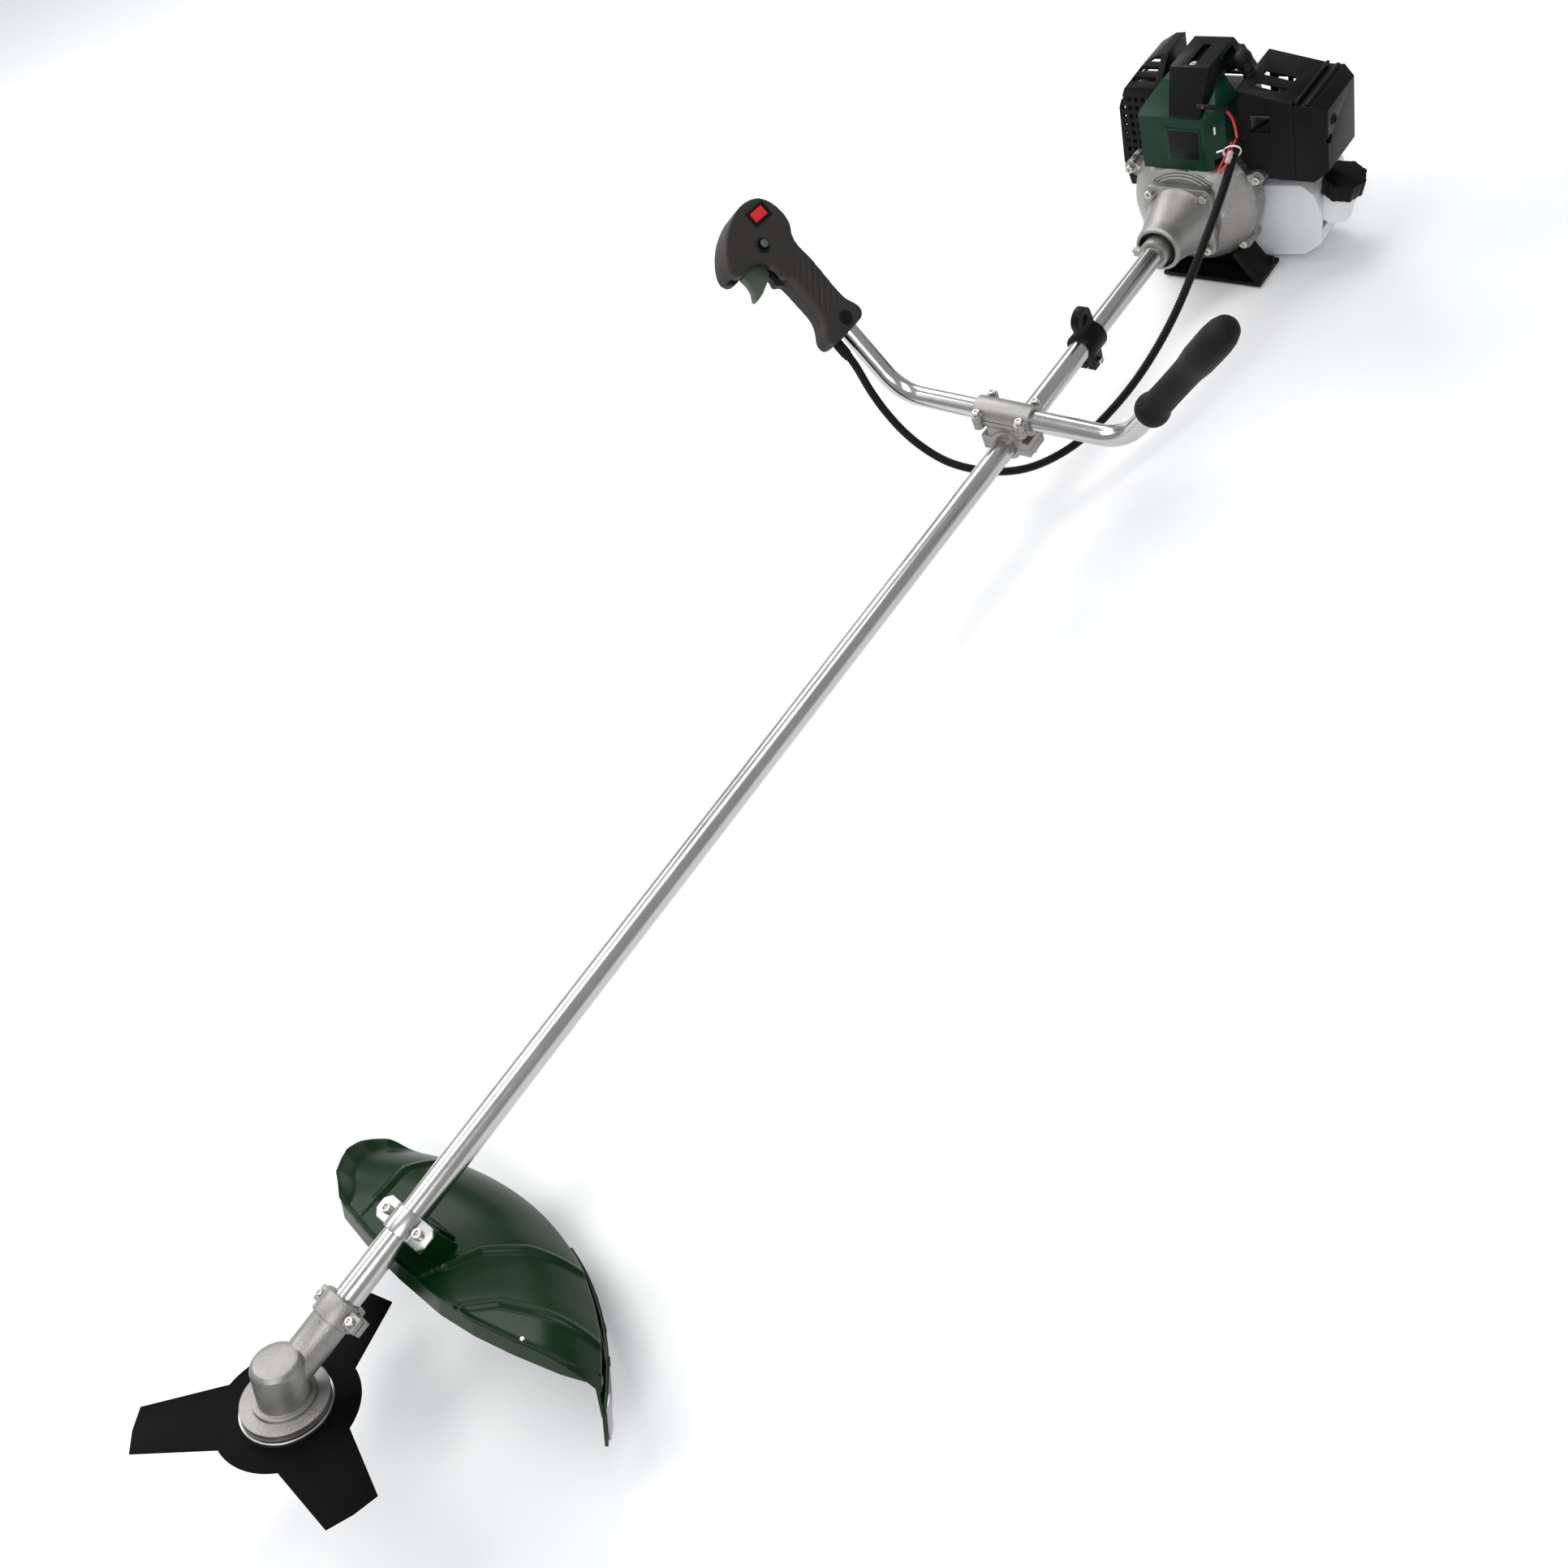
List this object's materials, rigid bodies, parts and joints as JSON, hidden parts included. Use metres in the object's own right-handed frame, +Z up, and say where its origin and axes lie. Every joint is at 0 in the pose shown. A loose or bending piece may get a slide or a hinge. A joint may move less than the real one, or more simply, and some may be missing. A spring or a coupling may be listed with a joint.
{
  "type": "brush cutter",
  "caption": "Two-stroke shaft brush cutter with bicycle handlebar, angled gear head with toothed blade, curved guard and rear engine with recoil starter.",
  "frame": {"origin": "centre of the bounding box's footprint, on the ground that the guard and the engine stand rest on", "axes": "+X along the shaft towards the engine, +Y to the operator's right as seen from behind the engine, +Z up"},
  "size_m": [1.8688, 0.6084, 0.381],
  "materials": {
    "polished_tube": "polished",
    "steel": "machined",
    "bearing_steel": "ground",
    "cast_alloy": "sand cast, satin",
    "blade_black": "black paint",
    "guard_green": "gloss",
    "stamped_alloy": "stamped",
    "knife_steel": "pressed",
    "grip_rubber": "soft",
    "grip_plastic": "fine texture",
    "lever_green": "satin",
    "black_plastic": "satin",
    "switch_red": "gloss",
    "zinc_screws": "zinc plated",
    "loom_black": "corrugated",
    "wire_red": "smooth",
    "rubber_black": "moulded",
    "friction_lining": "sintered",
    "dark_steel": "heat-darkened",
    "ceramic_white": "glazed",
    "shroud_green": "gloss",
    "rope_white": "braided",
    "tank_white": "translucent, satin",
    "hose_yellow": "translucent"
  },
  "bodies": {
    "frame": {"outer_tube": "polished_tube", "bearings": "bearing_steel", "gear_case": "cast_alloy", "guard": "guard_green", "guard_extension": "guard_green", "guard_bracket": "stamped_alloy", "line_knife": "knife_steel", "bracket_base": "cast_alloy", "bracket_body": "cast_alloy", "bracket_cap": "cast_alloy", "handlebar": "polished_tube", "plain_grip": "grip_rubber", "throttle_shell_front": "grip_plastic", "throttle_shell_back": "grip_plastic", "harness_clamp": "black_plastic", "socket_screws": "zinc_screws", "throttle_loom": "loom_black", "loom_tail": "wire_red", "clutch_case": "cast_alloy", "tube_sleeve": "cast_alloy", "damper_ring": "rubber_black", "fan_housing": "cast_alloy", "ignition_coil": "dark_steel", "crankcase": "cast_alloy", "cylinder": "cast_alloy", "spark_plug": "ceramic_white", "plug_boot": "rubber_black", "shroud": "shroud_green", "top_cover": "black_plastic", "muffler": "dark_steel", "muffler_cover": "black_plastic", "carburettor": "cast_alloy", "filter_case": "black_plastic", "filter_cover": "black_plastic", "starter_housing": "black_plastic", "fuel_tank": "tank_white", "fuel_hoses": "hose_yellow", "engine_stand": "black_plastic"},
    "blade_unit": {"spindle": "steel", "output_gear": "steel", "blade_holder": "steel", "blade": "blade_black", "blade_fasteners": "steel"},
    "drive": {"drive_shaft": "steel", "pinion_gear": "steel", "clutch_drum": "steel"},
    "crank": {"crankshaft": "steel", "flywheel": "cast_alloy", "clutch_shoes": "friction_lining"},
    "piston_unit": {"piston": "cast_alloy", "connecting_rod": "steel"},
    "trigger": {"throttle_trigger": "lever_green"},
    "lockout": {"lockout_lever": "lever_green"},
    "button": {"lock_button": "black_plastic"},
    "switch": {"stop_switch": "switch_red"},
    "choke": {"choke_lever": "black_plastic"},
    "cap": {"fuel_cap": "black_plastic"},
    "pulley": {"starter_pulley": "ceramic_white"},
    "pull_handle": {"starter_handle": "black_plastic", "starter_rope": "rope_white"}
  },
  "joints": [
    {"name": "blade_spin", "type": "hinge", "parent": "frame", "child": "blade_unit", "pos_m": [-0.82222, -0.02432, 0.17095], "axis": [0.5344, 0, 0.8452], "continuous": true},
    {"name": "drive_spin", "type": "hinge", "parent": "frame", "child": "drive", "pos_m": [-0.82222, -0.02432, 0.17095], "axis": [0.9992, 0, -0.0402], "continuous": true},
    {"name": "crank_spin", "type": "hinge", "parent": "frame", "child": "crank", "pos_m": [0.84943, -0.02432, 0.10372], "axis": [0.9992, 0, -0.0402], "continuous": true},
    {"name": "piston_stroke", "type": "slide", "parent": "frame", "child": "piston_unit", "axis": [0.0402, 0, 0.9992], "range_m": [0, 0.034]},
    {"name": "trigger_pull", "type": "hinge", "parent": "frame", "child": "trigger", "pos_m": [0.35611, 0.26675, 0.34454], "axis": [0.0804, -0.788, 0.6104], "range_deg": [0, 14], "stiffness_Nm_per_rad": 0.25, "springref_deg": -20.05},
    {"name": "lockout_press", "type": "hinge", "parent": "frame", "child": "lockout", "pos_m": [0.41279, 0.26182, 0.33072], "axis": [-0.0804, 0.788, -0.6104], "range_deg": [0, 8], "stiffness_Nm_per_rad": 0.2, "springref_deg": -17.19},
    {"name": "lock_button_press", "type": "slide", "parent": "frame", "child": "button", "axis": [-0.0804, 0.788, -0.6104], "range_m": [0, 0.004], "stiffness_N_per_m": 300, "springref_m": -0.002},
    {"name": "stop_switch_rock", "type": "hinge", "parent": "frame", "child": "switch", "pos_m": [0.40177, 0.2696, 0.36188], "axis": [0.1029, 0.6157, 0.7813], "range_deg": [0, 12]},
    {"name": "choke_turn", "type": "hinge", "parent": "frame", "child": "choke", "pos_m": [0.87978, -0.13032, 0.18656], "axis": [0.9992, 0, -0.0402], "range_deg": [0, 60]},
    {"name": "fuel_cap_lift", "type": "slide", "parent": "frame", "child": "cap", "axis": [0.0388, -0.2588, 0.9651], "range_m": [0, 0.012]},
    {"name": "starter_pull", "type": "slide", "parent": "frame", "child": "pull_handle", "axis": [0.0348, -0.5, 0.8653], "range_m": [0, 0.55], "stiffness_N_per_m": 12, "springref_m": -0.5},
    {"name": "pulley_turn", "type": "hinge", "parent": "frame", "child": "pulley", "pos_m": [0.8934, -0.02432, 0.10195], "axis": [0.9992, 0, -0.0402], "range_deg": [0, 1215]}
  ],
  "couplings": [
    {"joint": "drive_spin", "follows": "blade_spin", "ratio": -1.3571},
    {"joint": "pulley_turn", "follows": "starter_pull", "rad_per_m": 38.462}
  ]
}
